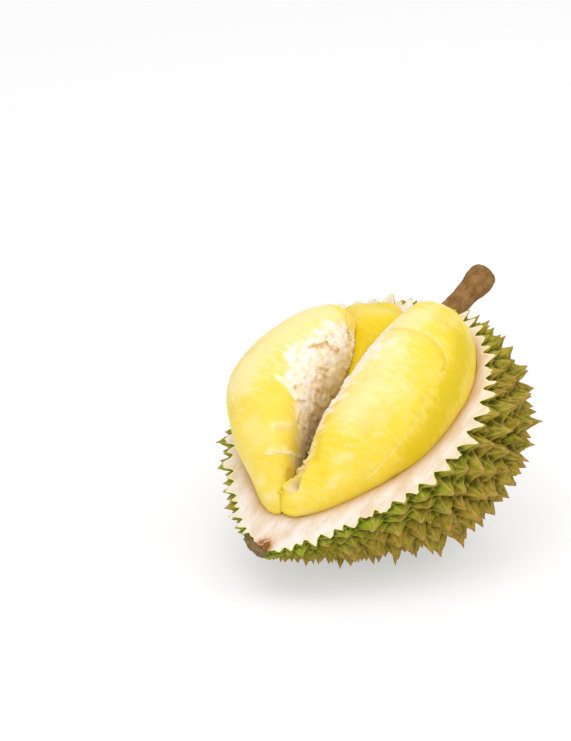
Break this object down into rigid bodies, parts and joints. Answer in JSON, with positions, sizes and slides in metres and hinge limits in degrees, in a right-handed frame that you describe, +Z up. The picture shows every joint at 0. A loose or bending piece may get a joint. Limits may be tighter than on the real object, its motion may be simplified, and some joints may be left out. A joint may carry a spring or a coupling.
{
  "type": "opened durian half",
  "caption": "Half of a thorny durian, cut open lengthwise, with its stem and yellow lobes of flesh; it lies on its worn-down thorns.",
  "frame": {"origin": "middle of the box around the fruit, on the surface that it lies on", "axes": "+Z up, +Y towards the stem end along the fruit's length, +X to the right seen from the blossom end"},
  "size_m": [0.2204, 0.2566, 0.1757],
  "materials": {
    "husk": "matte",
    "bark": "matte",
    "flesh": "satin"
  },
  "bodies": {
    "root": {"rind": "husk", "stem": "bark", "flesh_lobe_right": "flesh", "flesh_lobe_left": "flesh", "flesh_lobe_back": "flesh"}
  },
  "joints": []
}
